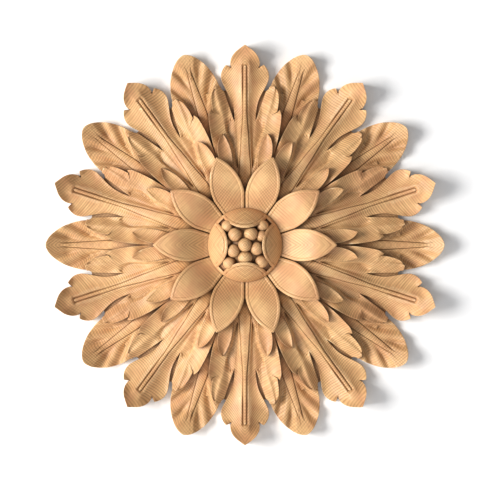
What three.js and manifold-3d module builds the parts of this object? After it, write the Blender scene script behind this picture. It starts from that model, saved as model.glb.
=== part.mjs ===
// Carved wooden rosette, millimetres, +Z up. The flat back lies in the plane
// y = 0 with its centre on the origin, and the carving rises towards -Y.
import * as THREE from "three";
import { mergeVertices } from "three/addons/utils/BufferGeometryUtils.js";
import Module from "manifold-3d";

// ---- driving dimensions -------------------------------------------------
const OUTER_RADIUS = 150;      // to the tips of both sorts of leaf
const FOLD = 10;               // petals, pointed leaves, round leaves
const HALF_STEP = Math.PI / FOLD;

// pointed leaf: lance-shaped end, a notch, an ear each side, a narrow waist
const TIP_HALF = 11.1, TIP_WIDE_AT = 137.0;
const NOTCH_X = 10.3, NOTCH_AT = 133.5;
const EAR_X = 14.3, EAR_AT = 135.5;
const EAR_HALF = 18.15, EAR_WIDE_AT = 127.1;
const WAIST_HALF = 8.3, WAIST_AT = 95.5;
const LEAF_ROOT_HALF = 5.0, LEAF_ROOT_AT = 40;
const LEAF_TROUGH = 9.6, LEAF_TROUGH_AT = 121;   // lowest point of the crest line
const LEAF_HUB = 18.6, LEAF_HUB_AT = 64;         // highest point, by the petals
const LEAF_CURL = 7.6, TIP_CURL = 4.9;           // rise of the tip above the trough
const LEAF_CURL_FROM = 119.5;
const BLADE_FALL = 0.37;                         // depth of a blade's hollow over its width
const RIB_HALF = 1.1, RIB_END = 135.0;           // midrib
const GROOVE_W = 1.0, GROOVE_D = 1.5;
const JOIN_AT = 94.2;                            // below this, blade and side lobe are one surface

// side lobe of the pointed leaf, with a notch in its outer edge
const LOBE_TIP_X = 20.8, LOBE_TIP_AT = 119.5;
const LOBE_WIDE_X = 25.4, LOBE_WIDE_AT = 108.8;
const LOBE_NOTCH_X = 24.3, LOBE_NOTCH_AT = 100.3;
const LOBE_CORNER_X = 26.2, LOBE_CORNER_AT = 101.4;
const LOBE_LOW_X = 27.3, LOBE_LOW_AT = 96;
const LOBE_ROOT_X = 21.6, LOBE_ROOT_AT = 66;
const LOBE_H = 11.7;

// small inner lobe
const BUD_TIP_X = 16.7, BUD_TIP_AT = 83.5;
const BUD_OUT_X = 20.6, BUD_OUT_AT = 71.5;
const BUD_IN_X = 9.2, BUD_ROOT_AT = 52, BUD_TIP_H = 19;

// round leaf behind
const BACK_HALF = 18.8, BACK_WIDE_AT = 116.8;
const BACK_TIP_H = 13.9, BACK_LOW_H = 5.6, BACK_LOW_AT = 131, BACK_INNER_H = 10.8;
const BACK_RIPPLE = 2.0, BACK_RIB_END = 139;

// petal
const PETAL_HALF = 12.15, PETAL_WIDE_AT = 42.9, PETAL_TIP_AT = 68.8;
const PETAL_BASE_H = 16.0, PETAL_RISE = 13.6, PETAL_GAP = 0.35;
const PETAL_RIM = 0.6;

// centre button with four lips round a cluster of berries
const BOSS_R = 27.9, BOSS_EDGE_H = 17.6, BOSS_TOP_H = 31.6, BOSS_CREST_R = 12.5;
const LIP_ARC_R = 21.6, LIP_ARC_AT = 34.4, PIT_R = 25.4, OPENING_FLOOR = 17;
// berry: across, up, radius, height of its top
const BERRIES = [
  [0, 0, 5.3, 33.4], [-7.4, 7.6, 5.2, 31.6], [4.4, 8.1, 5.3, 31.8],
  [8.6, -2.6, 4.9, 31.9], [0, -9.2, 5.4, 31.4], [-8.5, -4.3, 4.9, 31.9],
  [-13.2, 14.2, 4.6, 27.6], [13.2, 14.2, 4.6, 27.6], [12.2, -12.3, 4.8, 28.2],
  [-11.6, -13.4, 4.8, 28.2], [12.2, 6.5, 4.2, 29.6],
];

// web left between the leaves, seen only down the slots
const WEB_R = 117.5, WEB_H = 3.8, WEB_INNER_R = 70, WEB_INNER_H = 9;

const BELOW = 4;               // solids start behind the back plane, then are cut

// ---- helpers ------------------------------------------------------------
const clamp = (v, a = 0, b = 1) => Math.min(b, Math.max(a, v));
const smooth = v => { v = clamp(v); return v * v * (3 - 2 * v); };
const mix = (a, b, t) => a + (b - a) * t;
const steps = (a, b, n) => Array.from({ length: n + 1 }, (_, i) => mix(a, b, i / n));

// half width of the midrib at a distance from the centre
function ribHalf(r) {
  return RIB_HALF + 1.55 * smooth((101 - r) / 27) + 0.08 * Math.max(0, 74 - r);
}
// how far the blade starts below the crest of the midrib
function besideRib(r) {
  return GROOVE_D * (0.05 + 0.95 * smooth((131 - r) / 44));
}

// ---- pointed leaf -------------------------------------------------------
function crestHeight(r) {
  if (r > LEAF_TROUGH_AT) {
    const t = (r - LEAF_CURL_FROM) / (OUTER_RADIUS - LEAF_CURL_FROM);
    return LEAF_TROUGH + LEAF_CURL * t ** 1.45 + TIP_CURL * t ** 5;
  }
  if (r < LEAF_HUB_AT) return LEAF_HUB - 0.9 * ((LEAF_HUB_AT - r) / 12) ** 2;
  const v = (LEAF_TROUGH_AT - r) / (LEAF_TROUGH_AT - LEAF_HUB_AT);
  return LEAF_TROUGH + (LEAF_HUB - LEAF_TROUGH) * (0.5 - 0.5 * Math.cos(Math.PI * v)) ** 1.5;
}
// how far from the midline the blade meets the side lobe
function creaseAt(r) {
  return 5.3 + 0.19 * (r - 57) + 2.5 * smooth((r - 73) / 14) - 3.3 * smooth((r - 84) / 12);
}
// the blade from midrib to crease where the side lobe joins it
function joinedBlade(x, r) {
  const foot = ribHalf(r) + 1, step = 6 + 0.075 * Math.max(0, r - 70);
  const second = 1.4 * smooth((r - 69) / 16) - 0.8 * smooth((r - 88) / 7);
  return crestHeight(r) - besideRib(r) - 1.9 * smooth((x - foot) / (6.4 - foot))
    - second * smooth((x - step) / Math.max(1, creaseAt(r) - step));
}
function leafWidth(r) {
  if (r > NOTCH_AT)
    return TIP_HALF * (1 - clamp((r - TIP_WIDE_AT) / (OUTER_RADIUS - TIP_WIDE_AT), 0, 1) ** 2) ** 0.95;
  return earWidth(r);
}
function earWidth(r) {
  if (r > EAR_WIDE_AT)
    return EAR_HALF - (EAR_HALF - EAR_X) * ((r - EAR_WIDE_AT) / (EAR_AT - EAR_WIDE_AT)) ** 2.2;
  if (r > WAIST_AT)
    return mix(WAIST_HALF, EAR_HALF, smooth(((r - WAIST_AT) / (EAR_WIDE_AT - WAIST_AT)) ** 1.42));
  return mix(LEAF_ROOT_HALF, WAIST_HALF, (r - LEAF_ROOT_AT) / (WAIST_AT - LEAF_ROOT_AT));
}
function bladeValley(r) {
  return 0.82 - 0.09 * smooth((124 - r) / 4) + 0.26 * smooth((117 - r) / 20);
}
function leafHeight(x, r) {
  x = Math.abs(x);
  const top = crestHeight(r), a = ribHalf(r), foot = a + GROOVE_W;
  if (r < RIB_END && x < foot)
    return x <= a ? top - GROOVE_D * (x / a) ** 1.5 : top - mix(GROOVE_D, besideRib(r), (x - a) / GROOVE_W);
  const w = r < EAR_WIDE_AT ? earWidth(r) : EAR_HALF, valley = bladeValley(r);
  const u = clamp((x - foot) / Math.max(0.1, w - foot)), v = clamp((u - valley) / Math.max(0.01, 1 - valley));
  const fall = u < valley ? 1 - (1 - u / valley) ** 2.1 : 1 - 0.28 * (1 - smooth((r - 121) / 8)) * v ** 2;
  const hollow = BLADE_FALL * valley * (w - foot) * (1 + 0.12 * smooth((122 - r) / 8) - 1.25 * smooth((r - 136) / 10));
  const start = r < RIB_END ? besideRib(r) : 0;
  let h = mix(joinedBlade(x, r), top - start - hollow * fall, smooth((r - 94.5) / 4.5));
  // the shoulders of the tip and the ears turn up more than the middle
  h += 1.4 * smooth((x / 10.5) ** 2) * smooth((r - 134.5) / 7);
  return h + (1.5 * smooth((r - 130.5) / 5) + 1.1 * clamp((r - 130.5) / 4.9) ** 2) * smooth((x - 10.5) / 3);
}
function leafRows() {
  const half = [];
  for (const r of [150, 146.6, 141.5]) half.push([r, leafWidth(r), r]);
  half.push([135.3, leafWidth(135.3), 135.2], [133.2, NOTCH_X, NOTCH_AT], [128.2, NOTCH_X, NOTCH_AT],
            [127.4, mix(NOTCH_X, EAR_X, 0.5), mix(NOTCH_AT, EAR_AT, 0.55)], [126.6, EAR_X, EAR_AT]);
  for (const r of [131.6, 127, 120.5, 111, 98])
    half.push([r - 7, earWidth(r), r]);
  for (const r of [82, 62, LEAF_ROOT_AT]) half.push([r - 6, earWidth(r), r]);
  return half.map(([rc, xe, re]) => {
    const along = x => mix(rc, re, xe ? x / xe : 0), a = ribHalf(rc);
    const rib = rc < RIB_END;
    const foot = a + GROOVE_W;
    const xs = rib ? [a, foot, mix(foot, xe, 0.5), xe] : [0.2, 0.4, 0.7, 1].map(t => t * xe);
    const right = xs.map(x => [x, along(x), xe]);
    return [...right.map(([x, r, w]) => [-x, r, w]).reverse(), [0, rc, xe], ...right];
  });
}

// ---- side lobe ----------------------------------------------------------
const lobeRidgeX = r => 15.1 + (r - 88.7) * 0.28;
const lobeReach = r => mix(5.0, 8.2, smooth((r - 94) / 16));
const lobeDipX = r => mix(creaseAt(r), lobeRidgeX(r) - lobeReach(r), smooth((r - 92) / 3));
function lobeInner(r) {
  return r > JOIN_AT
    ? 8.4 + 0.335 * (r - JOIN_AT) + 2.4 * smooth((r - 115) / 4)
    : mix(4.2, 7.6, clamp((r - 60) / 34));
}
function lobeOuter(r, lower) {
  if (!lower) {
    if (r > LOBE_WIDE_AT)
      return LOBE_WIDE_X - (LOBE_WIDE_X - LOBE_TIP_X) * ((r - LOBE_WIDE_AT) / (LOBE_TIP_AT - LOBE_WIDE_AT)) ** 3.4;
    return LOBE_WIDE_X - (LOBE_WIDE_X - LOBE_NOTCH_X) * ((LOBE_WIDE_AT - r) / (LOBE_WIDE_AT - LOBE_NOTCH_AT)) ** 1.6;
  }
  if (r > LOBE_LOW_AT)
    return LOBE_LOW_X - (LOBE_LOW_X - LOBE_CORNER_X) * ((r - LOBE_LOW_AT) / (LOBE_CORNER_AT - LOBE_LOW_AT)) ** 2;
  return LOBE_LOW_X - (LOBE_LOW_X - LOBE_ROOT_X) * ((LOBE_LOW_AT - r) / (LOBE_LOW_AT - LOBE_ROOT_AT)) ** 1.4;
}
function lobeCrest(r) {
  const free = LOBE_H + 8.4 * Math.sin(Math.PI / 2 * clamp((91.5 - r) / 31.5)) ** 1.5
    - 1.4 * smooth((r - 105) / 11) + 0.6 * smooth((r - 115) / 4.5);
  return Math.min(free, budAlong(r) - 1.5);
}
function lobeHeight(x, r, xo) {
  const ridge = lobeRidgeX(r), ridgeH = lobeCrest(r), dip = lobeDipX(r);
  const low = mix(joinedBlade(dip, r), ridgeH - mix(1.5, 4.4, smooth((r - 93) / 13)), smooth((r - 92) / 5));
  if (x < dip) return r > JOIN_AT ? low + 0.3 * (dip - x) : joinedBlade(x, r) - 1.5;
  if (x < ridge) return mix(low, ridgeH, smooth((x - dip) / Math.max(1, ridge - dip)));
  const v = clamp((x - ridge) / Math.max(0.5, xo - ridge));
  return ridgeH + mix(5.3, 1.5, smooth((r - 97) / 6)) * smooth((r - 72) / 10) * v * v;
}
function lobeRows() {
  const pairs = [[119.5, 119.4, 0], [116.5, 117.4, 0], [110, 112.5, 0], [100.2, LOBE_NOTCH_AT, 0],
                 [94.6, LOBE_NOTCH_AT, 0], [90, LOBE_NOTCH_AT, 0], [89.5, LOBE_CORNER_AT, 1],
                 [86, 96, 1], [74, 84, 1], [60, 66, 1], [46, 50, 1]];
  return pairs.map(([ri, ro, lower], i) => {
    const xi = i ? lobeInner(ri) : LOBE_TIP_X, xo = i ? lobeOuter(ro, lower) : LOBE_TIP_X + 0.6;
    const at = x => [x, mix(ri, ro, (x - xi) / (xo - xi)), xo];
    const rx = clamp(lobeRidgeX(mix(ri, ro, 0.5)), xi + 0.3, xo - 0.5);
    return [xi, clamp(lobeDipX(mix(ri, ro, 0.3)), xi + 0.1, rx - 0.1), rx, xo].map(at);
  });
}

// ---- small inner lobe ---------------------------------------------------
const budInner = r => BUD_IN_X + (BUD_TIP_X - BUD_IN_X) * clamp((r - 60) / (BUD_TIP_AT - 60)) ** 2.4;
function budOuter(r) {
  if (r > BUD_OUT_AT)
    return BUD_OUT_X - (BUD_OUT_X - BUD_TIP_X) * ((r - BUD_OUT_AT) / (BUD_TIP_AT - BUD_OUT_AT)) ** 3;
  return BUD_OUT_X - 0.02 * (BUD_OUT_AT - r) ** 2;
}
const budAlong = r => BUD_TIP_H - 0.1 * (BUD_TIP_AT - r) + 0.019 * clamp(78 - r, 0, 14) ** 2;
function budHeight(x, r, xi, xo) {
  const u = (x - xi) / Math.max(0.2, xo - xi);
  const cup = u > 0.35 ? 3 * ((u - 0.35) / 0.65) ** 2 : 0.8 * ((0.35 - u) / 0.35) ** 2;
  return budAlong(r) + cup * smooth((84.5 - r) / 6 + 0.2);
}
function budRows() {
  return [83.4, 81.4, 77, 70, BUD_ROOT_AT].map(r => {
    const xi = budInner(r), xo = Math.max(budOuter(r), xi + 0.2);
    return [0, 0.45, 1].map(t => [mix(xi, xo, t), r, xi, xo]);
  });
}

// ---- round leaf behind --------------------------------------------------
function backHeight(x, r, phi, t) {
  let h;
  if (r > BACK_LOW_AT)
    h = BACK_LOW_H + (BACK_TIP_H - BACK_LOW_H) * ((r - BACK_LOW_AT) / (OUTER_RADIUS - BACK_LOW_AT)) ** 1.5;
  else
    h = BACK_LOW_H + (BACK_INNER_H - BACK_LOW_H) * (0.5 - 0.5 * Math.cos(Math.PI * clamp((BACK_LOW_AT - r) / 66))) ** 1.2;
  if (phi > 29.2)
    h -= BACK_RIPPLE * (0.5 + 0.5 * Math.cos(2 * Math.PI * (phi - 41) / 23.5)) * smooth(t * 1.3) * (1 - smooth((phi - 68) / 9));
  const a = 1.1 + 2.7 * clamp((BACK_RIB_END - r) / 48);
  if (r < BACK_RIB_END && Math.abs(x) < a) h += 0.7 * (1 - (x / a) ** 2);
  return h;
}
function backRows() {
  const rows = [];
  const row = (rc, xe, re, phi) => {
    const right = [0.14, 0.55, 1].map(t => [xe * t, mix(rc, re, t), phi, t]);
    rows.push([...right.map(([x, r, p, t]) => [-x, r, p, t]).reverse(), [0, rc, phi, 0], ...right]);
  };
  for (const phi of [0, 20, 30, 41, 52.7, 64.5, 76]) {
    const s = Math.sin(phi * Math.PI / 180), c = Math.cos(phi * Math.PI / 180);
    row(OUTER_RADIUS - 56.2 * s ** 0.625, BACK_HALF * (s * s) ** 0.6, BACK_WIDE_AT + (OUTER_RADIUS - BACK_WIDE_AT) * c, phi);
  }
  row(86, 18, 112, 90); row(64, 9, 80, 0);
  return rows;
}

// ---- petal --------------------------------------------------------------
function petalWidth(r) {
  const gore = r * Math.tan(HALF_STEP) - PETAL_GAP;
  if (r < PETAL_WIDE_AT) return Math.min(gore, PETAL_HALF - 0.012 * (PETAL_WIDE_AT - r) ** 2);
  return PETAL_HALF * (1 - ((r - PETAL_WIDE_AT) / (PETAL_TIP_AT - PETAL_WIDE_AT)) ** 2) ** 0.85;
}
function petalHeight(x, r, w) {
  const v = clamp((r - 27) / 31);
  let h = PETAL_BASE_H + PETAL_RISE * Math.sin(Math.PI / 2 * v) ** 1.4;
  const u = w ? Math.abs(x) / w : 1;
  h += PETAL_RIM * smooth((u - 0.6) / 0.2) - 0.5 * smooth((u - 0.85) / 0.15);
  return h - 0.6 * smooth((r - 62) / 7);
}
function petalRows() {
  return [68.8, 66.6, 61, 53, 43.5, 34.5, 26].map(r => {
    const w = petalWidth(r), right = [0.8, 1].map(t => [w * t, r, w]);
    return [...right.map(([x, q, k]) => [-x, q, k]).reverse(), [0, r, w], ...right];
  });
}

// ---- solids -------------------------------------------------------------
const wasm = await Module();
wasm.setup();

function closedFrom(positions, index) {
  let volume = 0;
  const p = i => new THREE.Vector3(...positions[i]);
  for (let i = 0; i < index.length; i += 3)
    volume += p(index[i]).dot(p(index[i + 1]).cross(p(index[i + 2])));
  if (volume < 0) for (let i = 0; i < index.length; i += 3)
    [index[i + 1], index[i + 2]] = [index[i + 2], index[i + 1]];
  return new wasm.Manifold(new wasm.Mesh({
    numProp: 3, vertProperties: new Float32Array(positions.flat()), triVerts: new Uint32Array(index),
  }));
}

// A blade: rows of surface points, walls down behind the back plane.
// side = -1 mirrors it; turn places its axis at an angle from +X.
function blade(rows, height, turn, side = 1) {
  const c = Math.cos(turn), s = Math.sin(turn);
  const keys = new Map(), positions = [], index = [];
  const put = (x, r, h) => {
    const key = [x, r, h].map(v => Math.round(v * 500)).join();
    if (!keys.has(key)) {
      keys.set(key, positions.length);
      positions.push([r * c + side * x * s, -h, r * s - side * x * c]);
    }
    return keys.get(key);
  };
  const tri = (a, b, d) => { if (a !== b && b !== d && a !== d) index.push(a, b, d); };
  const top = rows.map(row => row.map(q => put(q[0], q[1], height(...q))));
  const low = rows.map(row => row.map(q => put(q[0], q[1], -BELOW)));
  const m = rows.length, n = rows[0].length;
  for (let i = 0; i + 1 < m; i++) for (let j = 0; j + 1 < n; j++) {
    const rising = rows[i][j][0] + rows[i][j + 1][0] > 0;
    const quad = g => [g[i][j], g[i][j + 1], g[i + 1][j + 1], g[i + 1][j]];
    const [a, b, d, e] = quad(top), [A, B, D, E] = quad(low);
    if (rising) { tri(a, b, d); tri(a, d, e); tri(A, D, B); tri(A, E, D); }
    else { tri(a, b, e); tri(b, d, e); tri(A, E, B); tri(B, E, D); }
  }
  const loop = [];
  for (let j = 0; j < n; j++) loop.push([0, j]);
  for (let i = 1; i < m; i++) loop.push([i, n - 1]);
  for (let j = n - 2; j >= 0; j--) loop.push([m - 1, j]);
  for (let i = m - 2; i > 0; i--) loop.push([i, 0]);
  loop.forEach(([i, j], k) => {
    const [i2, j2] = loop[(k + 1) % loop.length];
    const a = top[i][j], b = top[i2][j2], A = low[i][j], B = low[i2][j2];
    if (a !== b) { tri(b, a, A); tri(b, A, B); }
  });
  return closedFrom(positions, index);
}

function fromGeometry(geometry) {
  geometry.deleteAttribute("normal");
  geometry.deleteAttribute("uv");
  const merged = mergeVertices(geometry, 1e-4), at = merged.getAttribute("position");
  const positions = [];
  for (let i = 0; i < at.count; i++) positions.push([at.getX(i), at.getY(i), at.getZ(i)]);
  const index = [];
  for (let i = 0; i < merged.index.count; i += 3) {
    const [a, b, c] = [0, 1, 2].map(k => merged.index.getX(i + k));
    if (a !== b && b !== c && a !== c) index.push(a, b, c);
  }
  return closedFrom(positions, index);
}

function boss() {
  const profile = [new THREE.Vector2(0, -BELOW), new THREE.Vector2(BOSS_R, -BELOW), new THREE.Vector2(BOSS_R, BOSS_EDGE_H)];
  for (const v of steps(1, 0, 4).slice(1))
    profile.push(new THREE.Vector2(mix(BOSS_CREST_R, BOSS_R, v), BOSS_TOP_H - (BOSS_TOP_H - BOSS_EDGE_H) * v ** 1.35));
  profile.push(new THREE.Vector2(0, BOSS_TOP_H));
  const dome = new THREE.LatheGeometry(profile, 32);
  dome.rotateX(Math.PI);
  // opening between the lips: four inward arcs joined by short outer arcs
  const spread = Math.asin(16.4 / LIP_ARC_R), outline = [];
  for (let k = 0; k < 4; k++) {
    const a = k * Math.PI / 2, lip = t => {
      const x = LIP_ARC_AT - LIP_ARC_R * Math.cos(t), z = LIP_ARC_R * Math.sin(t);
      return new THREE.Vector2(x * Math.cos(a) - z * Math.sin(a), x * Math.sin(a) + z * Math.cos(a));
    };
    for (const t of steps(-spread, spread, 5)) outline.push(lip(t));
    outline.push(new THREE.Vector2(PIT_R * Math.cos(a + Math.PI / 4), PIT_R * Math.sin(a + Math.PI / 4)));
  }
  const hole = new THREE.ExtrudeGeometry(new THREE.Shape(outline), { depth: 30, bevelEnabled: false });
  hole.rotateX(Math.PI / 2);
  hole.translate(0, -OPENING_FLOOR, 0);
  let solid = fromGeometry(dome).subtract(fromGeometry(hole));
  for (const [x, z, radius, top] of BERRIES) {
    const dome = steps(0, 1, 2).map(t => new THREE.Vector2(
      radius * Math.cos(t * Math.PI / 2), top - radius + radius * Math.sin(t * Math.PI / 2)));
    dome[2].x = 0;
    const berry = new THREE.LatheGeometry([new THREE.Vector2(0, 10), new THREE.Vector2(radius, 10), ...dome], 8);
    berry.rotateX(Math.PI);
    berry.translate(x, 0, z);
    solid = solid.add(fromGeometry(berry));
  }
  return solid;
}

function web() {
  const profile = [[0, -BELOW], [WEB_R, -BELOW], [WEB_R, WEB_H], [WEB_INNER_R, WEB_INNER_H], [0, WEB_INNER_H]];
  const disc = new THREE.LatheGeometry(profile.map(([x, y]) => new THREE.Vector2(x, y)), 20);
  disc.rotateX(Math.PI);
  return fromGeometry(disc);
}

let body = boss().add(web());
for (let k = 0; k < FOLD; k++) {
  const onPetal = 2 * k * HALF_STEP, onLeaf = (2 * k + 1) * HALF_STEP;
  const parts = [
    blade(backRows(), backHeight, onPetal),
    blade(leafRows(), leafHeight, onLeaf),
    blade(petalRows(), petalHeight, onPetal),
  ];
  for (const side of [1, -1]) {
    parts.push(blade(lobeRows(), lobeHeight, onLeaf, side));
    parts.push(blade(budRows(), budHeight, onLeaf, side));
  }
  for (const part of parts) body = body.add(part);
}
const keep = new THREE.BoxGeometry(400, 60, 400);
keep.translate(0, -30, 0);
body = body.intersect(fromGeometry(keep));

const out = body.getMesh();
const geometry = new THREE.BufferGeometry();
geometry.setAttribute("position", new THREE.Float32BufferAttribute(out.vertProperties, 3));
geometry.setIndex(new THREE.Uint32BufferAttribute(out.triVerts, 1));
geometry.computeVertexNormals();

const wood = new THREE.MeshStandardMaterial({ color: 0xd9ae7c, roughness: 0.55, metalness: 0 });
wood.name = "wood";
const rosette = new THREE.Mesh(geometry, wood);
rosette.name = "rosette";

const group = new THREE.Group();
group.name = "carved_wooden_rosette";
group.add(rosette);
export default group;
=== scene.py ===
import math

import bpy
import numpy as np
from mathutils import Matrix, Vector


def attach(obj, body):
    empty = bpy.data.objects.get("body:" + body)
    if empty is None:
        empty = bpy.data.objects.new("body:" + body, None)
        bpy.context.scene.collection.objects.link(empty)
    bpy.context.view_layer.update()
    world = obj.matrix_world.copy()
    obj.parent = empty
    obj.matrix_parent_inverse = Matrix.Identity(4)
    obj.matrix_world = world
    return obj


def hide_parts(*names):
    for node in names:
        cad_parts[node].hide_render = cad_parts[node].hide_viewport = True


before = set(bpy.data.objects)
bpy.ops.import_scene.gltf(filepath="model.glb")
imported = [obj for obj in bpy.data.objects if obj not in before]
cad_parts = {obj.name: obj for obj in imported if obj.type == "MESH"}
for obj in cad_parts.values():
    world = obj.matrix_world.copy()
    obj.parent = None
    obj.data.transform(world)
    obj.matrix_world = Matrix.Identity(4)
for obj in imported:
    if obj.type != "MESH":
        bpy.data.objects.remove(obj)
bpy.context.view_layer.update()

# ---------------------------------------------------------------- sizes, mm
# The flat back lies in y = 0 and the carving rises towards -Y.
OUTER_R = 150.0
FOLD = 10
STEP = math.pi / FOLD
EDGE_ROUND = 0.5               # softened arris of every leaf

TIP_HALF, TIP_WIDE_AT = 11.1, 137.0
NOTCH = (10.3, 133.5)
EAR = (14.3, 135.5)
EAR_HALF, EAR_WIDE_AT = 18.15, 127.1
WAIST_HALF, WAIST_AT = 8.3, 95.5
ROOT_HALF, ROOT_AT = 5.0, 40.0
TROUGH, TROUGH_AT = 9.6, 121.0
HUB, HUB_AT = 18.6, 64.0
CURL, TIP_CURL, CURL_FROM = 7.6, 4.9, 119.5
BLADE_FALL = 0.37              # depth of a blade's hollow over its width
RIB_HALF, RIB_END = 1.1, 135.0
GROOVE_W, GROOVE_D = 0.5, 1.5
JOIN_AT = 94.2                 # below this the lobe and the blade are one surface

LOBE_TIP = (20.8, 119.5)
LOBE_WIDE = (25.4, 108.8)
LOBE_NOTCH = (24.3, 100.3)
LOBE_CORNER = (26.2, 101.4)
LOBE_LOW = (27.3, 96.0)
LOBE_ROOT = (21.6, 66.0)
LOBE_H = 11.7

BUD_TIP = (16.7, 83.5)
BUD_OUT = (20.6, 71.5)
BUD_IN, BUD_ROOT_AT, BUD_TIP_H = 9.2, 52.0, 19.0

BACK_HALF, BACK_WIDE_AT = 18.8, 116.8
BACK_TIP_H, BACK_LOW_H, BACK_LOW_AT, BACK_INNER_H = 13.9, 5.8, 131.0, 12.0
BACK_RIPPLE = 1.0
BACK_RIB_END = 139.0

PETAL_HALF, PETAL_WIDE_AT, PETAL_TIP_AT = 12.15, 42.9, 68.8
PETAL_BASE_H, PETAL_RISE, PETAL_GAP = 16.0, 13.6, 0.35

BOSS_R, BOSS_EDGE_H, BOSS_TOP_H, BOSS_CREST_R = 27.9, 17.6, 31.6, 12.5
LIP_R, LIP_AT = 21.6, 34.4
PIT_R = 25.6
BERRIES = [
    (0, 0, 5.3, 33.4), (-7.4, 7.6, 5.3, 31.8), (4.4, 8.1, 5.4, 31.9),
    (8.7, -2.6, 5.0, 31.9), (0, -9.3, 5.6, 31.6), (-8.5, -4.3, 5.0, 31.9),
    (-12.8, 13.8, 4.8, 27.4), (12.8, 13.9, 4.8, 27.4), (12.1, -12.2, 5.0, 28.6),
    (-11.6, -13.2, 5.0, 28.6), (12.6, 6.4, 4.4, 30.0), (-13.8, 2.0, 3.6, 29.0),
]
WEB_R, WEB_H, WEB_IN_R, WEB_IN_H = 117.5, 3.8, 70.0, 9.0
BELOW = 4.0


# ------------------------------------------------------------- small helpers
def clamp(v, a=0.0, b=1.0):
    return np.minimum(b, np.maximum(a, v))


def smooth(v):
    v = clamp(v)
    return v * v * (3 - 2 * v)


def mix(a, b, t):
    return a + (b - a) * t


def to_path(points, path):
    """Distance from each point of points (..., 2) to a polyline."""
    flat = points.reshape(-1, 2)
    best = np.full(len(flat), 1e9)
    for a, b in zip(path[:-1], path[1:]):
        ab = b - a
        n = max(1e-12, float(ab @ ab))
        t = clamp(((flat - a) @ ab) / n)
        best = np.minimum(best, np.hypot(*(flat - a - t[:, None] * ab).T))
    return best.reshape(points.shape[:-1])


def softened(d, size=EDGE_ROUND):
    """How far a rounded arris lies below the surface, d from the outline."""
    q = clamp(1 - d / size)
    return size * (1 - np.sqrt(np.maximum(0.0, 1 - q * q)))


EDGE_STEPS = np.array([0.0, 0.1, 0.24, 0.42, 0.8])


def fractions(length, middle, near_start, near_end):
    """Where along a rib of this length its samples sit, closer at its ends."""
    k = min(1.0, length / 5.0)
    start = EDGE_STEPS * k / max(length, 1e-6) if near_start else np.array([0.0])
    end = 1 - EDGE_STEPS[::-1] * k / max(length, 1e-6) if near_end else np.array([1.0])
    inner = np.linspace(start[-1], end[0], middle + 2)[1:-1]
    return np.concatenate([start, inner, end])


# -------------------------------------------------------------- pointed leaf
def rib_half(r):
    return RIB_HALF + 1.55 * smooth((101 - r) / 27) + 0.08 * np.maximum(0, 74 - r)


def crest(r):
    t = clamp((r - CURL_FROM) / (OUTER_R - CURL_FROM), 0, 2)
    out = TROUGH + CURL * t ** 1.45 + TIP_CURL * t ** 5
    v = clamp((TROUGH_AT - r) / (TROUGH_AT - HUB_AT))
    inward = TROUGH + (HUB - TROUGH) * (0.5 - 0.5 * np.cos(np.pi * v)) ** 1.5
    hub = HUB - 0.9 * ((HUB_AT - r) / 12) ** 2
    return np.where(r > TROUGH_AT, out, np.where(r < HUB_AT, hub, inward))


def crease(r):
    """How far from the midline the blade meets the side lobe."""
    return 5.3 + 0.19 * (r - 57) + 2.5 * smooth((r - 73) / 14) - 3.3 * smooth((r - 84) / 12)


def joined_blade(x, r):
    """The blade from the midrib to the crease, where the side lobe joins it."""
    foot = rib_half(r) + 2.4 * GROOVE_W
    step = 6.0 + 0.075 * np.maximum(0, r - 70)
    second = 1.6 * smooth((r - 69) / 14) - 0.8 * smooth((r - 88) / 7)
    one = smooth((x - foot) / (6.0 - foot))
    two = smooth((x - step) / np.maximum(1.0, crease(r) - step))
    return crest(r) - 1.9 * one - second * two - beside_rib(x, r)


def beside_rib(x, r):
    """How far the blade lies below the midrib's foot, just outside the cut."""
    left_low = 0.05 + 0.95 * smooth((131 - r) / 44)
    past = x - rib_half(r) - GROOVE_W
    return groove(r) * (left_low + (1 - left_low) * (1 - smooth(past / 1.5)))


def groove(r):
    """Depth of the cut beside the midrib, which runs out at the midrib's end."""
    return GROOVE_D * smooth((137 - r) / 2.5) * (1 - 0.25 * smooth((r - 118) / 12))


def lance_width(r):
    u = clamp((r - TIP_WIDE_AT) / (OUTER_R - TIP_WIDE_AT))
    return TIP_HALF * (1 - u ** 2) ** 0.95 - 0.25 * np.sin(np.pi * clamp((r - 145.5) / 4.5))


def ear_width(r):
    top = EAR_HALF - (EAR_HALF - EAR[0]) * clamp((r - EAR_WIDE_AT) / (EAR[1] - EAR_WIDE_AT)) ** 2.2
    mid = mix(WAIST_HALF, EAR_HALF, smooth(clamp((r - WAIST_AT) / (EAR_WIDE_AT - WAIST_AT)) ** 1.42))
    low = mix(ROOT_HALF, WAIST_HALF, clamp((r - ROOT_AT) / (WAIST_AT - ROOT_AT)))
    return np.where(r > EAR_WIDE_AT, top, np.where(r > WAIST_AT, mid, low))


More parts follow.
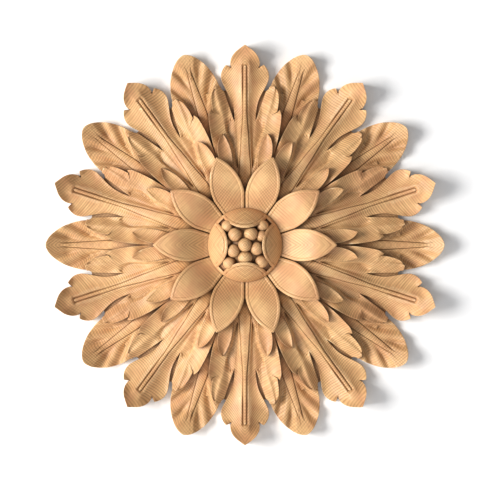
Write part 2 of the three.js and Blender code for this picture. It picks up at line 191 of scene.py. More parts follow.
def leaf_ribs():
    """(r on the midline, x and r on the edge) from the tip to the root."""
    ribs = [(r, lance_width(r), r) for r in 150 - 14.8 * np.linspace(0, 1, 34) ** 1.35]
    for f in np.linspace(0.12, 1, 5):
        ribs.append((mix(135.3, 133.4, f), mix(float(lance_width(135.2)), NOTCH[0], f), mix(135.2, NOTCH[1], f)))
    for rc in (132.4, 131.2, 129.8, 128.4):
        ribs.append((rc, *NOTCH))
    for f in np.linspace(0.12, 1, 9):
        ribs.append((mix(128.0, 126.6, f), mix(NOTCH[0], EAR[0], f),
                     mix(NOTCH[1], EAR[1], f ** 0.8)))
    keys_r = [EAR[1], 131.6, 127.1, 120.5, 111, 98, 82, 62, ROOT_AT]
    keys_c = [126.6, 124.0, 120.2, 114, 105, 92, 77, 57, ROOT_AT - 3]
    for r in np.concatenate([np.linspace(135.1, 118, 26), np.linspace(117.2, 92, 34), np.linspace(90.5, ROOT_AT, 24)]):
        rc = float(np.interp(-r, [-k for k in keys_r], keys_c))
        ribs.append((rc, float(ear_width(r)), r))
    return ribs


def leaf_grid():
    rows = []
    for rc, xe, re in leaf_ribs():
        a = float(rib_half(rc))
        k = min(1.0, xe / 6.0)
        core = np.array([0.0, 0.45 * a, a - 0.3, a - 0.08, a + 0.14, a + 0.34, a + 0.52, a + 0.95, a + 1.5]) * k
        start = core[-1]
        rest = start + (xe - start) * fractions(max(xe - start, 1e-6), 7, False, True)[1:]
        xs = np.concatenate([core, rest]) if xe > 1e-6 else np.zeros(9 + len(rest))
        rr = rc + (re - rc) * (xs / xe if xe > 1e-6 else 0 * xs)
        right = np.stack([xs, rr, np.full_like(xs, xe)], -1)
        left = right[:0:-1].copy()
        left[:, 0] *= -1
        rows.append(np.concatenate([left, right]))
    return np.array(rows)


def leaf_height(grid):
    x, r = np.abs(grid[..., 0]), grid[..., 1]
    top, a = crest(r), rib_half(r)
    end = RIB_END - RIB_HALF
    sd = np.where(r < end, x - a, np.hypot(x, np.maximum(0, r - end)) - RIB_HALF)
    # each half of the blade falls from the midrib to a valley, then rises a little
    foot = a + 2.4 * GROOVE_W + 0.8 * smooth((r - 112) / 12)
    w = np.where(r < EAR_WIDE_AT, ear_width(np.minimum(r, EAR_WIDE_AT)), EAR_HALF)
    valley = 0.82 - 0.09 * smooth((124 - r) / 4) + 0.26 * smooth((117 - r) / 20)
    u = clamp((x - foot) / np.maximum(0.1, w - foot))
    v = clamp((u - valley) / np.maximum(0.01, 1 - valley))
    fall = np.where(u < valley, 1 - (1 - clamp(u / valley)) ** 2.1, 1 - 0.28 * (1 - smooth((r - 121) / 8)) * v ** 2)
    dish = BLADE_FALL * valley * (w - foot) * (1 + 0.12 * smooth((122 - r) / 8) - 1.25 * smooth((r - 136) / 10))
    free = top - dish * fall - beside_rib(x, r)
    h = mix(joined_blade(x, r) - 0.04, free, smooth((r - 94.5) / 4.5))
    # midrib between two narrow cuts; lower down the blade stays level with their foot
    cut = groove(r)
    round_over = -0.35 * smooth((136.5 - r) / 2) * np.minimum(1.0, x / np.maximum(a, 0.1)) ** 2
    rib = top + round_over - cut * smooth((sd + 0.25) / (GROOVE_W + 0.25))
    h = np.where(sd < GROOVE_W, rib, h)
    # the ears and the shoulders of the tip turn up more than the middle
    h = h + 1.4 * smooth((x / 10.5) ** 2) * smooth((r - 134.5) / 9)
    h = h + (1.5 * smooth((r - 130.5) / 5) + 1.6 * clamp((r - 130.5) / 4.9) ** 2) * smooth((x - 10.5) / 3)
    # a low swelling carries the midrib on towards the tip
    h = h + 0.7 * smooth((r - 134.8) / 1.4) * (1 - smooth((r - 136.4) / 6)) * (1 - smooth(x / 6))
    return h


# ----------------------------------------------------------------- side lobe
def lobe_inner(r):
    slot = 8.4 + 0.335 * (r - JOIN_AT) + 2.4 * smooth((r - 115) / 4)
    hidden = mix(4.2, 7.6, clamp((r - 60) / 34))
    return np.where(r > JOIN_AT, slot, hidden)


def lobe_outer(r, lower):
    if lower:
        up = LOBE_LOW[0] - (LOBE_LOW[0] - LOBE_CORNER[0]) * clamp((r - LOBE_LOW[1]) / (LOBE_CORNER[1] - LOBE_LOW[1])) ** 2
        down = LOBE_LOW[0] - (LOBE_LOW[0] - LOBE_ROOT[0]) * np.maximum(0, (LOBE_LOW[1] - r) / (LOBE_LOW[1] - LOBE_ROOT[1])) ** 1.4
        return np.where(r > LOBE_LOW[1], up, down)
    up = LOBE_WIDE[0] - (LOBE_WIDE[0] - LOBE_TIP[0]) * clamp((r - LOBE_WIDE[1]) / (LOBE_TIP[1] - LOBE_WIDE[1])) ** 3.4
    down = LOBE_WIDE[0] - (LOBE_WIDE[0] - LOBE_NOTCH[0]) * clamp((LOBE_WIDE[1] - r) / (LOBE_WIDE[1] - LOBE_NOTCH[1])) ** 1.6
    return np.where(r > LOBE_WIDE[1], up, down)


def lobe_ribs():
    """Ends of each rib, slot side then outer side, from the tip to the root."""
    ribs = []
    for f in np.linspace(0, 1, 7):
        drop = 1.2 * f ** 2
        ribs.append(((LOBE_TIP[0] - 2.6 * math.sqrt(1 - (1 - f) ** 2), LOBE_TIP[1] - drop * 0.9),
                     (LOBE_TIP[0] + 1.9 * math.sqrt(1 - (1 - f) ** 2), LOBE_TIP[1] - drop)))
    for f in np.linspace(0.04, 1, 30):
        ri, ro = mix(118.2, 100.2, f), mix(118.2, LOBE_NOTCH[1], f)
        ri = mix(118.3, 100.2, f ** 1.0)
        ribs.append(((float(lobe_inner(ri)), ri), (float(lobe_outer(ro, False)), ro)))
    for ri in (98, 95, 92.5, 90.2):
        ribs.append(((float(lobe_inner(ri)), ri), LOBE_NOTCH))
    for f in np.linspace(0.2, 1, 5):
        ri = mix(90.0, 89.4, f)
        ribs.append(((float(lobe_inner(ri)), ri),
                     (mix(LOBE_NOTCH[0], LOBE_CORNER[0], f), mix(LOBE_NOTCH[1], LOBE_CORNER[1], f ** 0.7))))
    for f in np.linspace(0.03, 1, 40):
        ri, ro = mix(89.2, 46, f), mix(101.2, 50, f)
        ribs.append(((float(lobe_inner(ri)), ri), (float(lobe_outer(ro, True)), ro)))
    return ribs


def lobe_grid():
    rows = []
    for (xi, ri), (xo, ro) in lobe_ribs():
        length = math.hypot(xo - xi, ro - ri)
        t = fractions(max(length, 1e-6), 19, True, True)
        rows.append(np.stack([mix(xi, xo, t), mix(ri, ro, t), np.full_like(t, xo)], -1))
    return np.array(rows)


def lobe_crest(r):
    """Height along the lobe's low ridge."""
    free = LOBE_H + 7.5 * np.sin(np.pi / 2 * clamp((91.5 - r) / 31.5)) ** 1.5
    free = free - 1.4 * smooth((r - 105) / 11) + 0.6 * smooth((r - 115) / 4.5)
    return np.minimum(free, bud_along(r) - 1.5)


def lobe_height(grid):
    x, r, xo = grid[..., 0], grid[..., 1], grid[..., 2]
    ridge = 15.1 + (r - 88.7) * 0.28
    ridge_h = lobe_crest(r)
    reach = mix(5.0, 8.2, smooth((r - 94) / 16))
    dip = mix(crease(r), ridge - reach, smooth((r - 92) / 3))
    low = joined_blade(dip, r)
    low = mix(low, ridge_h - mix(1.5, 4.4, smooth((r - 93) / 13)), smooth((r - 92) / 5))
    shelf = low + 0.22 * (dip - x)
    inside = np.where(r > JOIN_AT, shelf, joined_blade(np.minimum(x, dip), r))
    climb = mix(low, ridge_h, smooth((x - dip) / np.maximum(1.0, ridge - dip)))
    inner = np.where(x < dip, inside, climb)
    q = clamp((x - ridge) / np.maximum(0.5, xo - ridge))
    rise = mix(5.3, 1.5, smooth((r - 97) / 6)) * smooth((r - 72) / 10)
    outer = ridge_h + rise * q ** 2 - 0.6 * np.sin(np.pi * q) * smooth((r - 96) / 6)
    return np.where(x < ridge, inner, outer)


# ---------------------------------------------------------- small inner lobe
def bud_inner(r):
    return BUD_IN + (BUD_TIP[0] - BUD_IN) * clamp((r - 60) / (BUD_TIP[1] - 60)) ** 2.4


def bud_outer(r):
    up = BUD_OUT[0] - (BUD_OUT[0] - BUD_TIP[0]) * clamp((r - BUD_OUT[1]) / (BUD_TIP[1] - BUD_OUT[1])) ** 3.0
    return np.where(r > BUD_OUT[1], up, BUD_OUT[0] - 0.02 * (BUD_OUT[1] - r) ** 2)


def bud_grid():
    rows = []
    for r in np.concatenate([BUD_TIP[1] - 3.5 * np.linspace(0.02, 1, 12) ** 2, np.linspace(79.3, BUD_ROOT_AT, 22)]):
        xi, xo = float(bud_inner(r)), float(bud_outer(r))
        if xo < xi + 0.15:
            xi, xo = BUD_TIP[0] - 0.1, BUD_TIP[0] + 0.1
        t = fractions(xo - xi, 9, True, True)
        rows.append(np.stack([mix(xi, xo, t), np.full_like(t, r), t], -1))
    return np.array(rows)


def bud_along(r):
    return BUD_TIP_H - 0.1 * (BUD_TIP[1] - r) + 0.012 * clamp(78 - r, 0, 14) ** 2


def bud_height(grid):
    r, u = grid[..., 1], grid[..., 2]
    along = bud_along(r)
    cup = np.where(u > 0.35, 3 * ((u - 0.35) / 0.65) ** 2, 0.8 * ((0.35 - u) / 0.35) ** 2)
    return along + cup * smooth((84.5 - r) / 6 + 0.2)


# --------------------------------------------------------- round leaf behind
def back_rib_half(r):
    return (1.22 + 0.0647 * clamp(BACK_RIB_END - r, 0, 45)) * np.sqrt(clamp((BACK_RIB_END + 0.3 - r) / 2.2))


def back_rib(phi):
    """Foot on the midline, end on the outline and bend of the vein at phi."""
    s, c = math.sin(math.radians(phi)), math.cos(math.radians(phi))
    bend = 1 + 1.0 * float(smooth(phi / 40)) - 0.7 * float(smooth((phi - 46) / 20))
    return (OUTER_R - 56.2 * s ** 0.625, BACK_HALF * (s * s) ** 0.6,
            BACK_WIDE_AT + (OUTER_R - BACK_WIDE_AT) * c, bend)


def back_grid():
    rows = []
    ribs = [(*back_rib(phi), phi) for phi in np.concatenate([90 * np.linspace(0, 1, 74) ** 1.25])]
    for f in np.linspace(0.1, 1, 9):
        ribs.append((mix(OUTER_R - 56.2, 64, f), mix(BACK_HALF, 8, f), mix(BACK_WIDE_AT, 78, f), 1.3, 90.0))
    for rc, xe, re, bend, phi in ribs:
        length = math.hypot(xe, re - rc)
        tail = 1 - EDGE_STEPS[::-1] * min(1.0, length / 5) / max(length, 1e-6)
        # columns that follow the cut beside the midrib
        cut = np.array([-0.65, -0.3, -0.1, 0.1, 0.3, 0.65])
        at = 0.5
        if xe > 1e-6:
            for _ in range(6):
                at = (float(back_rib_half(mix(rc, re, at))) / xe) ** (1 / bend)
                at = min(at, 1.0)
            a = xe * at ** bend
            cut = (np.maximum(a + cut, 0.02 * xe) / xe) ** (1 / bend)
        near = cut if xe > 1e-6 and cut[-1] < 0.75 * tail[0] and cut[0] > 0.03 else np.linspace(0.06, 0.30, 6)
        t = np.concatenate([[0.0, 0.35 * near[0], 0.7 * near[0]], near, mix(near[-1], tail[0], np.linspace(0, 1, 15)[1:-1] ** 0.9), tail])
        right = np.stack([xe * t ** bend, mix(rc, re, t), np.full_like(t, phi), t], -1)
        left = right[:0:-1].copy()
        left[:, 0] *= -1
        rows.append(np.concatenate([left, right]))
    return np.array(rows)


def back_height(grid):
    x, r, phi, t = np.abs(grid[..., 0]), grid[..., 1], grid[..., 2], grid[..., 3]
    up = BACK_LOW_H + (BACK_TIP_H - BACK_LOW_H) * clamp((r - BACK_LOW_AT) / (OUTER_R - BACK_LOW_AT)) ** 1.5
    v = clamp((BACK_LOW_AT - r) / 66)
    down = BACK_LOW_H + (BACK_INNER_H - BACK_LOW_H) * (0.5 - 0.5 * np.cos(np.pi * v)) ** 1.1
    h = np.where(r > BACK_LOW_AT, up, down)
    h = h - 0.9 * smooth((x - 1.5) / 12) * (1 - smooth((r - 119) / 6))
    first = 3.0 * (0.5 + 0.5 * np.cos(np.pi * clamp(np.where(phi < 39.3, (39.3 - phi) / 16.5, (phi - 39.3) / 12.5)))) ** 1.15
    second = 2.8 * (0.5 + 0.5 * np.cos(np.pi * clamp(np.abs(phi - 65) / 12.5))) ** 1.1 * (1 - smooth((phi - 69) / 9))
    a = back_rib_half(r)
    h = h - BACK_RIPPLE * (first + second) * smooth((x - a - 0.3) / 6.0)
    sd = x - a
    on = smooth((BACK_RIB_END - 0.5 - r) / 5)
    h = h + on * np.where(sd < 0, 0.4 * (1 - (x / np.maximum(a, 0.1)) ** 2), 0)
    h = h - on * 0.75 * (1 - smooth(np.abs(sd) / 0.45))
    h = h - on * 0.7 * smooth((sd + 0.45) / 0.9) * (1 - 0.7 * smooth((sd - 1) / 8))
    return h


# --------------------------------------------------------------------- petal
def petal_width(r):
    gore = r * math.tan(STEP) - PETAL_GAP
    low = np.minimum(gore, PETAL_HALF - 0.012 * (PETAL_WIDE_AT - r) ** 2)
    high = PETAL_HALF * (1 - clamp((r - PETAL_WIDE_AT) / (PETAL_TIP_AT - PETAL_WIDE_AT)) ** 2) ** 0.85
    return np.where(r < PETAL_WIDE_AT, low, high)


RIM_STEPS = np.array([0.0, 0.1, 0.24, 0.42, 0.9, 1.5, 1.9, 2.2, 2.5, 2.8, 3.2])


def petal_grid():
    rows = []
    for r in np.concatenate([PETAL_TIP_AT - 6 * np.linspace(0, 1, 22) ** 1.5, np.linspace(62.3, 30, 44), [24.0]]):
        w = float(petal_width(r))
        rim = RIM_STEPS * min(1.0, w / 5.0)
        xs = np.concatenate([np.linspace(0, w - rim[-1], 8)[:-1], w - rim[::-1]])
        right = np.stack([xs, np.full_like(xs, r), np.full_like(xs, w)], -1)
        left = right[:0:-1].copy()
        left[:, 0] *= -1
        rows.append(np.concatenate([left, right]))
    return np.array(rows)


def petal_height(grid, d):
    x, r, w = np.abs(grid[..., 0]), grid[..., 1], grid[..., 2]
    v = clamp((r - 27) / 31)
    h = PETAL_BASE_H + PETAL_RISE * np.sin(np.pi / 2 * v) ** 1.4
    h = h - 0.45 * smooth(x / 9) * (1 - (x / 16) ** 2)
    near_tip = smooth((r - 59) / 8)
    h = h + 0.34 * (1 - smooth((d - 1.75) / 0.8)) * (1 - 0.5 * near_tip)          # raised rim
    h = h - 0.13 * (1 - smooth(np.abs(d - 2.5) / 0.5)) * (1 - 0.6 * near_tip)      # fine cut inside it
    h = h - 0.40 * clamp(1 - d / 1.7) ** 2
    return h - 0.7 * smooth((r - 60) / 9)


# ------------------------------------------------------------- closed shells
def shell(grid, heights, turn=0.0, side=1):
    """Closed solid: a carved top, walls straight down and a flat underside."""
    m, n = grid.shape[:2]
    c, s = math.cos(turn), math.sin(turn)
    keys, verts = {}, []

    def put(x, r, h):
        key = (round(x * 10000), round(r * 10000), round(h * 10000))
        if key not in keys:
            keys[key] = len(verts)
            verts.append((r * c + side * x * s, -h, r * s - side * x * c))
        return keys[key]

    top = [[put(grid[i, j, 0], grid[i, j, 1], heights[i, j]) for j in range(n)] for i in range(m)]
    loop = [(0, j) for j in range(n)] + [(i, n - 1) for i in range(1, m)]
    loop += [(m - 1, j) for j in range(n - 2, -1, -1)] + [(i, 0) for i in range(m - 2, 0, -1)]
    faces = []

    def face(*ids):
        out = []
        for k in ids:
            if not out or out[-1] != k:
                out.append(k)
        if len(out) > 1 and out[0] == out[-1]:
            out.pop()
        if len(out) > 2 and len(set(out)) == len(out):
            faces.append(out)

    for i in range(m - 1):
        for j in range(n - 1):
            q = (top[i][j], top[i][j + 1], top[i + 1][j + 1], top[i + 1][j])
            if grid[i, j, 0] + grid[i, j + 1, 0] > 0:
                face(q[0], q[1], q[2])
                face(q[0], q[2], q[3])
            else:
                face(q[0], q[1], q[3])
                face(q[1], q[2], q[3])
    ring_top, ring_low = [], []
    for i, j in loop:
        t = top[i][j]
        if ring_top and ring_top[-1] == t:
            continue
        ring_top.append(t)
        ring_low.append(put(grid[i, j, 0], grid[i, j, 1], -BELOW))
    if ring_top[0] == ring_top[-1]:
        ring_top.pop()
        ring_low.pop()
    count = len(ring_top)
    for k in range(count):
        a, b = ring_top[k], ring_top[(k + 1) % count]
        A, B = ring_low[k], ring_low[(k + 1) % count]
        face(b, a, A)
        face(b, A, B)
    faces.append(ring_low[::-1])
    return np.array(verts), faces


def lathe(profile, segments):
    """Closed solid of revolution; profile is (radius, height), axis to axis."""
    verts, faces, rings = [], [], []
    for rad, h in profile:
        if rad < 1e-9:
            rings.append([len(verts)])
            verts.append((0.0, -h, 0.0))
        else:
            rings.append(list(range(len(verts), len(verts) + segments)))
            for k in range(segments):
                t = 2 * math.pi * k / segments
                verts.append((rad * math.cos(t), -h, rad * math.sin(t)))
    for a, b in zip(rings[:-1], rings[1:]):
        for k in range(segments):
            k2 = (k + 1) % segments
            if len(a) == 1 and len(b) == 1:
                continue
            if len(a) == 1:
                faces.append([a[0], b[k], b[k2]])
            elif len(b) == 1:
                faces.append([a[k], b[0], a[k2]])
            else:
                faces.append([a[k], b[k], b[k2], a[k2]])
    return np.array(verts), faces


def outward(verts, faces):
    """Turns a closed shell's faces outward."""
    total = 0.0
    for f in faces:
        p = verts[f]
        for k in range(1, len(f) - 1):
            total += float(np.dot(p[0], np.cross(p[k], p[k + 1])))
    return faces if total > 0 else [f[::-1] for f in faces]


def solid(name, data, move=(0, 0, 0)):
    verts, faces = data
    faces = outward(verts, faces)
    mesh = bpy.data.meshes.new(name)
    mesh.from_pydata([tuple((v + np.array(move)) * 0.001) for v in verts], [], faces)
    mesh.update()
    obj = bpy.data.objects.new(name, mesh)
    bpy.context.scene.collection.objects.link(obj)
    return obj


def combine(objects, operation="UNION"):
    """Joins closed solids into one, or cuts the first with the others."""
    base = objects[0]
    extra = bpy.data.collections.new("operands")
    bpy.context.scene.collection.children.link(extra)
    for o in objects[1:]:
        extra.objects.link(o)
    mod = base.modifiers.new("join", "BOOLEAN")
    mod.operation = operation
    mod.solver = "MANIFOLD"
    if len(objects) == 2:
        mod.operand_type = "OBJECT"
        mod.object = objects[1]
    else:
        mod.operand_type = "COLLECTION"
        mod.collection = extra
    graph = bpy.context.evaluated_depsgraph_get()
    mesh = bpy.data.meshes.new_from_object(base.evaluated_get(graph))
    base.modifiers.clear()
    base.data = mesh
    for o in objects[1:]:
        bpy.data.objects.remove(o)
    bpy.data.collections.remove(extra)
    return base


def pairwise(objects):
    while len(objects) > 1:
        nxt = [combine(objects[i:i + 2]) for i in range(0, len(objects) - 1, 2)]
        if len(objects) % 2:
            nxt.append(objects[-1])
        objects = nxt
    return objects[0]


# -------------------------------------------------------------- centre button
def dome_height(rho):
    v = clamp((rho - BOSS_CREST_R) / (BOSS_R - BOSS_CREST_R))
    return BOSS_TOP_H - (BOSS_TOP_H - BOSS_EDGE_H) * v ** 1.35


def lip_grid():
    """One lens-shaped lip about the +r axis: rows along its inner arc."""
    rows = []
    half = 0.93
    for t in np.linspace(-half, half, 49):
        xi, ri = LIP_R * math.sin(t), LIP_AT - LIP_R * math.cos(t)
        rho, ang = math.hypot(xi, ri), math.atan2(xi, ri)
        ang_out = ang * 1.0
        out_r = BOSS_R
        xo, ro = out_r * math.sin(ang_out), out_r * math.cos(ang_out)
        length = math.hypot(xo - xi, ro - ri)
        steps = np.array([0, 0.1, 0.25, 0.5, 1.1, 1.8, 2.3, 2.6, 2.85, 3.1, 3.5]) * min(1.0, length / 6.0)
        d = np.concatenate([steps, np.linspace(steps[-1], length, 9)[1:]]) / max(length, 1e-6)
        rows.append(np.stack([mix(xi, xo, d), mix(ri, ro, d)], -1))
    return np.array(rows)


def lip_height(grid):
    x, r = grid[..., 0], grid[..., 1]
    rho = np.hypot(x, r)
    inside = LIP_R - np.hypot(x, r - LIP_AT)             # distance from the inner arc
    h = dome_height(rho)
    h = h + 0.3 * (1 - smooth((inside - 2.1) / 0.5))     # raised rim
    h = h - 0.6 * (1 - smooth(np.abs(inside - 2.65) / 0.42))
    h = h - 0.9 * clamp(1 - inside / 1.6) ** 2            # rolled inner edge
    return h - softened(BOSS_R - rho, 0.9)


def boss_parts():
    parts = []
    profile = [(0, -BELOW), (BOSS_R, -BELOW), (BOSS_R, BOSS_EDGE_H - 0.9)]
    for rho in np.linspace(BOSS_R - 0.05, PIT_R, 7):
        profile.append((rho, float(dome_height(rho) - softened(BOSS_R - rho, 0.9)) - 0.15))
    profile += [(PIT_R - 0.5, 18.8), (PIT_R - 1.2, 18.5), (16.0, 23.2), (8.0, 26.3), (0, 27.5)]
    parts.append(solid("ring", lathe(profile, 120)))
    grid = lip_grid()
    heights = lip_height(grid)
    for k in range(4):
        parts.append(solid("lip", shell(grid, heights, k * math.pi / 2)))
    for x, z, rad, top in BERRIES:
        prof = [(0, 8.0), (rad * 0.96, 8.0)]
        for a in np.linspace(-0.35, math.pi / 2, 12):
            prof.append((max(0.0, rad * math.cos(a)), top - rad + rad * math.sin(a)))
        prof[-1] = (0, top)
        parts.append(solid("berry", lathe(prof, 32), (x, 0, z)))
    return parts


# ------------------------------------------------------------------- assemble
def outline(grid, sides):
    """The visible outline of a blade: both long sides, or slot and outer side."""
    first = grid[:, 0, :2][::-1]
    last = grid[:, -1, :2]
    return np.concatenate([first, last]) if sides else last


def make(grid, height, needs_distance=False):
    d = to_path(grid[..., :2], outline(grid, True))
    h = height(grid, d) if needs_distance else height(grid)
    return h - softened(d)


def build_rosette():
    leaf, lobe, bud, back, petal = leaf_grid(), lobe_grid(), bud_grid(), back_grid(), petal_grid()
    leaf_h, lobe_h, bud_h = make(leaf, leaf_height), make(lobe, lobe_height), make(bud, bud_height)
    back_h, petal_h = make(back, back_height), make(petal, petal_height, True)
    sectors = []
    for k in range(FOLD):
        on_petal, on_leaf = 2 * k * STEP, (2 * k + 1) * STEP
        parts = [solid("back", shell(back, back_h, on_petal)), solid("leaf", shell(leaf, leaf_h, on_leaf))]
        for side in (1, -1):
            parts.append(solid("lobe", shell(lobe, lobe_h, on_leaf, side)))
            parts.append(solid("bud", shell(bud, bud_h, on_leaf, side)))
        parts.append(solid("petal", shell(petal, petal_h, on_petal)))
        sectors.append(pairwise(parts))
    web = solid("web", lathe([(0, -BELOW), (WEB_R, -BELOW), (WEB_R, WEB_H), (WEB_IN_R, WEB_IN_H), (0, WEB_IN_H)], 90))
    whole = pairwise(sectors + [web, pairwise(boss_parts())])
    box = [(-200, -60, -200), (200, -60, -200), (200, 0, -200), (-200, 0, -200),
           (-200, -60, 200), (200, -60, 200), (200, 0, 200), (-200, 0, 200)]
    faces = [[0, 1, 2, 3], [4, 7, 6, 5], [0, 4, 5, 1], [1, 5, 6, 2], [2, 6, 7, 3], [3, 7, 4, 0]]
    keep = solid("keep", (np.array(box, float), faces))
    return combine([whole, keep], "INTERSECT")


def thinned(obj, limit):
    """Merges the smallest facets until no more than limit triangles are left."""
    count = sum(len(p.vertices) - 2 for p in obj.data.polygons)
    if count > limit:
        mod = obj.modifiers.new("thin", "DECIMATE")
        mod.ratio = limit / count
        graph = bpy.context.evaluated_depsgraph_get()
        mesh = bpy.data.meshes.new_from_object(obj.evaluated_get(graph))
        obj.modifiers.clear()
        obj.data = mesh
    print("facets", count, "->", sum(len(p.vertices) - 2 for p in obj.data.polygons))
    return obj


rosette = thinned(build_rosette(), 194000)
rosette.name = "rosette_carving"
rosette.data.name = "rosette_carving"
rosette.data.materials.clear()
for poly in rosette.data.polygons:
    poly.use_smooth = True
rosette.data.set_sharp_from_angle(angle=math.radians(38))


# ------------------------------------------------------------------ materials
class Nodes:
    """Short-hand for building a node tree."""

    def __init__(self, name):
        self.mat = bpy.data.materials.new(name)
        self.mat.use_nodes = True
        self.tree = self.mat.node_tree
        self.tree.nodes.clear()
        self.out = self.add("ShaderNodeOutputMaterial")

    def add(self, kind, **props):
        node = self.tree.nodes.new(kind)
        for k, v in props.items():
            setattr(node, k, v)
        return node

    def link(self, a, b):
        self.tree.links.new(a, b)

    def math(self, op, a, b=None, c=None):
        node = self.add("ShaderNodeMath", operation=op)
        for slot, v in zip(node.inputs, (a, b, c)):
            if v is None:
                continue
            if isinstance(v, (int, float)):
                slot.default_value = v
            else:
                self.link(v, slot)
        return node.outputs[0]

    def noise(self, vector, scale, detail=3.0, rough=0.5):
        node = self.add("ShaderNodeTexNoise")
        self.link(vector, node.inputs["Vector"])
        node.inputs["Scale"].default_value = scale
        node.inputs["Detail"].default_value = detail
        node.inputs["Roughness"].default_value = rough
        return node.outputs[0]

    def vector(self, x, y, z):
        node = self.add("ShaderNodeCombineXYZ")
        for slot, v in zip(node.inputs, (x, y, z)):
            if isinstance(v, (int, float)):
                slot.default_value = v
            else:
                self.link(v, slot)
        return node.outputs[0]

    def ramp(self, value, stops):
        node = self.add("ShaderNodeValToRGB")
        el = node.color_ramp.elements
        while len(el) < len(stops):
            el.new(0.5)
        for e, (p, c) in zip(el, stops):
            e.position = p
            e.color = (*c, 1.0) if len(c) == 3 else c
        self.link(value, node.inputs[0])
        return node.outputs[0]

    def mixed(self, factor, a, b, mode="MIX"):
        node = self.add("ShaderNodeMix", data_type="RGBA", blend_type=mode)
        for slot, v in ((node.inputs[0], factor), (node.inputs[6], a), (node.inputs[7], b)):
            if isinstance(v, (int, float)):
                slot.default_value = v
            elif isinstance(v, tuple):
                slot.default_value = (*v, 1.0)
            else:
                self.link(v, slot)
        return node.outputs[2]


def wood_material():
    n = Nodes("carved_wood")
    bsdf = n.add("ShaderNodeBsdfPrincipled")
    n.link(bsdf.outputs[0], n.out.inputs[0])
    coord = n.add("ShaderNodeTexCoord")
    sep = n.add("ShaderNodeSeparateXYZ")
    n.link(coord.outputs["Object"], sep.inputs[0])
    ax, az, y = n.math("ABSOLUTE", sep.outputs[0]), n.math("ABSOLUTE", sep.outputs[2]), sep.outputs[1]
    # the grain runs slantwise in four book-matched quarters and bends with the relief
    across = n.math("MULTIPLY", n.math("ADD", ax, az), 0.7071)
    along = n.math("MULTIPLY", n.math("SUBTRACT", az, ax), 0.7071)
    cut = n.math("MULTIPLY_ADD", y, 0.35, across)
    slow = n.noise(n.vector(across, n.math("MULTIPLY", along, 0.5), y), 17.0, 2.0)
    bent = n.math("MULTIPLY_ADD", slow, 0.012, cut)

    def stripes(position, period, sharp=1.0):
        wave = n.math("SINE", n.math("MULTIPLY", position, 2 * math.pi / period))
        wave = n.math("MULTIPLY_ADD", wave, 0.5, 0.5)
        return wave if sharp == 1.0 else n.math("POWER", wave, sharp)

    def patches(vector, scale, low, high, floor):
        return n.ramp(n.noise(vector, scale, 2.0), [(low, (floor, floor, floor)), (high, (1, 1, 1))])

    # growth lines, fine and broad, each strong in some patches and faint in others
    strength = patches(n.vector(bent, n.math("MULTIPLY", along, 0.6), y), 50.0, 0.34, 0.62, 0.22)
    line = n.math("MULTIPLY", stripes(bent, 0.00158, 1.5), strength)
    strength2 = patches(n.vector(n.math("MULTIPLY", along, 0.7), bent, y), 36.0, 0.40, 0.64, 0.05)
    band = n.math("MULTIPLY", stripes(bent, 0.0037, 1.6), strength2)
    # rays crossing the growth lines
    strength3 = patches(n.vector(along, n.math("MULTIPLY", bent, 0.7), n.math("ADD", y, 0.3)), 44.0, 0.42, 0.62, 0.0)
    ray = n.math("MULTIPLY", stripes(n.math("MULTIPLY_ADD", slow, 0.008, along), 0.0017, 1.3), strength3)
    fibre = n.noise(n.vector(bent, n.math("MULTIPLY", along, 0.06), n.math("MULTIPLY", y, 0.5)), 1000.0, 3.0, 0.6)
    # slow change between a yellower and a pinker wood
    figure = n.noise(n.vector(n.math("MULTIPLY", bent, 0.9), n.math("MULTIPLY", along, 1.2), y), 62.0, 2.0, 0.5)
    base = n.ramp(figure, [(0.34, (0.650, 0.338, 0.160)), (0.50, (0.715, 0.418, 0.192)), (0.66, (0.790, 0.498, 0.230))])
    tone = n.mixed(n.math("MULTIPLY", fibre, 0.34), base, (0.45, 0.242, 0.104))
    tone = n.mixed(n.math("MULTIPLY", line, 0.68), tone, (0.28, 0.128, 0.045))
    tone = n.mixed(n.math("MULTIPLY", band, 0.34), tone, (0.34, 0.165, 0.062))
    tone = n.mixed(n.math("MULTIPLY", ray, 0.44), tone, (0.32, 0.158, 0.060))
    # painted highlight along sharp edges, painted shade in hollows and narrow cuts
    geo = n.add("ShaderNodeNewGeometry")
    # painted highlight: sharp edges are lightened toward cream
    edge_highlight = n.ramp(geo.outputs["Pointiness"], [(0.515, (0, 0, 0)), (0.62, (1, 1, 1))])
    highlighted = n.mixed(n.math("MULTIPLY", edge_highlight, 0.60), tone, (0.96, 0.76, 0.45))
    # painted shade: where ambient occlusion finds close surfaces, the colour is darkened toward dark brown
    open_sky = n.add("ShaderNodeAmbientOcclusion", samples=12, only_local=True)
    open_sky.inputs["Distance"].default_value = 0.0040
    crease_shade = n.ramp(open_sky.outputs["AO"], [(0.26, (1, 1, 1)), (0.85, (0, 0, 0))])
    shaded = n.mixed(n.math("MULTIPLY", crease_shade, 0.88), highlighted, (0.118, 0.046, 0.014))
    n.link(shaded, bsdf.inputs["Base Color"])
    n.link(n.math("MULTIPLY_ADD", fibre, 0.2, 0.40), bsdf.inputs["Roughness"])
    bsdf.inputs["Specular IOR Level"].default_value = 0.4
    height = n.math("ADD", n.math("MULTIPLY", line, -0.7), n.math("MULTIPLY", fibre, 0.7))
    bump = n.add("ShaderNodeBump")
    bump.inputs["Strength"].default_value = 0.5
    bump.inputs["Distance"].default_value = 0.00012
    n.link(height, bump.inputs["Height"])
    n.link(bump.outputs[0], bsdf.inputs["Normal"])
    return n.mat


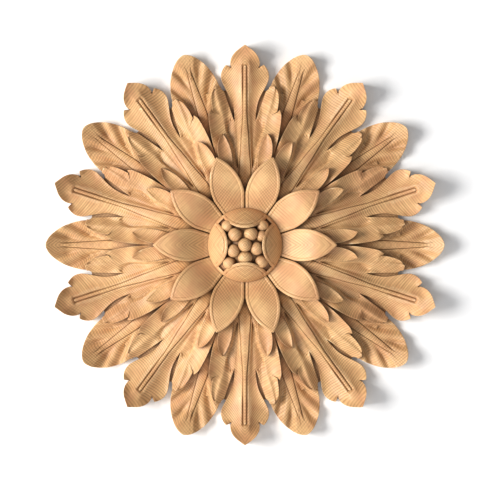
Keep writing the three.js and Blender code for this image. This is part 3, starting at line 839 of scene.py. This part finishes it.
def stage_material(name, colour, glow=0.0, see_through=False):
    """Plain matt backdrop; a little glow stands for the light of the room."""
    n = Nodes(name)
    bsdf = n.add("ShaderNodeBsdfPrincipled")
    bsdf.inputs["Base Color"].default_value = (*colour, 1.0)
    bsdf.inputs["Roughness"].default_value = 0.9
    bsdf.inputs["Specular IOR Level"].default_value = 0.0
    bsdf.inputs["Emission Color"].default_value = (0.93, 0.96, 1.0, 1.0)
    bsdf.inputs["Emission Strength"].default_value = glow
    if not see_through:
        n.link(bsdf.outputs[0], n.out.inputs[0])
        return n.mat
    clear = n.add("ShaderNodeBsdfTransparent")
    geo = n.add("ShaderNodeNewGeometry")
    both = n.add("ShaderNodeMixShader")
    n.link(geo.outputs["Backfacing"], both.inputs[0])
    n.link(bsdf.outputs[0], both.inputs[1])
    n.link(clear.outputs[0], both.inputs[2])
    n.link(both.outputs[0], n.out.inputs[0])
    return n.mat


rosette.data.materials.append(wood_material())
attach(rosette, "root")
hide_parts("rosette")


# ---------------------------------------------------------- stage and lights
def plane(name, corners, mat):
    mesh = bpy.data.meshes.new(name)
    mesh.from_pydata(corners, [], [[0, 1, 2, 3]])
    mesh.materials.append(mat)
    obj = bpy.data.objects.new(name, mesh)
    bpy.context.scene.collection.objects.link(obj)
    return obj


WALL = 3.0
plane("wall", [(-WALL, 0.0002, -1.2), (WALL, 0.0002, -1.2), (WALL, 0.0002, WALL), (-WALL, 0.0002, WALL)],
      stage_material("wall_white", (0.86, 0.86, 0.865), 0.045, True))
plane("floor", [(-WALL, -WALL, -1.2), (WALL, -WALL, -1.2), (WALL, 0.0002, -1.2), (-WALL, 0.0002, -1.2)],
      stage_material("floor_pale", (0.85, 0.85, 0.86), 0.1))


def area_light(name, at, aim, width, height, power, colour):
    data = bpy.data.lights.new(name, "AREA")
    data.shape = "RECTANGLE"
    data.size, data.size_y = width, height
    data.energy = power
    data.color = colour
    obj = bpy.data.objects.new(name, data)
    bpy.context.scene.collection.objects.link(obj)
    obj.location = at
    obj.rotation_euler = (Vector(aim) - Vector(at)).to_track_quat("-Z", "Y").to_euler()
    return obj


KEY_ANGLE = math.radians(40)
KEY_DIST = 2.6
area_light("key", (-KEY_DIST * math.cos(KEY_ANGLE), -KEY_DIST * math.sin(KEY_ANGLE), 0.0), (0, 0, 0),
           1.2, 1.35, 98.5, (1.0, 0.985, 0.96))

world = bpy.data.worlds.new("studio")
bpy.context.scene.world = world
world.use_nodes = True
background = world.node_tree.nodes["Background"]
background.inputs["Color"].default_value = (0.93, 0.96, 1.0, 1.0)
background.inputs["Strength"].default_value = 0.30

scene = bpy.context.scene
scene.view_settings.view_transform = "Standard"
scene.view_settings.look = "None"
scene.view_settings.exposure = 0.0
scene.view_settings.gamma = 1.0

# -------------------------------------------------------------------- camera
CAMERA_AT = 2.4                # a long lens, straight on
FRAME_WIDTH = 0.3678
camera_data = bpy.data.cameras.new("camera")
camera_data.sensor_width = 36.0
camera_data.lens = 36.0 * (CAMERA_AT - 0.015) / FRAME_WIDTH
camera_data.clip_end = 20.0
camera = bpy.data.objects.new("camera", camera_data)
scene.collection.objects.link(camera)
camera.location = (0.0, -CAMERA_AT, 0.0)
camera.rotation_euler = (math.radians(90), 0, 0)
scene.camera = camera
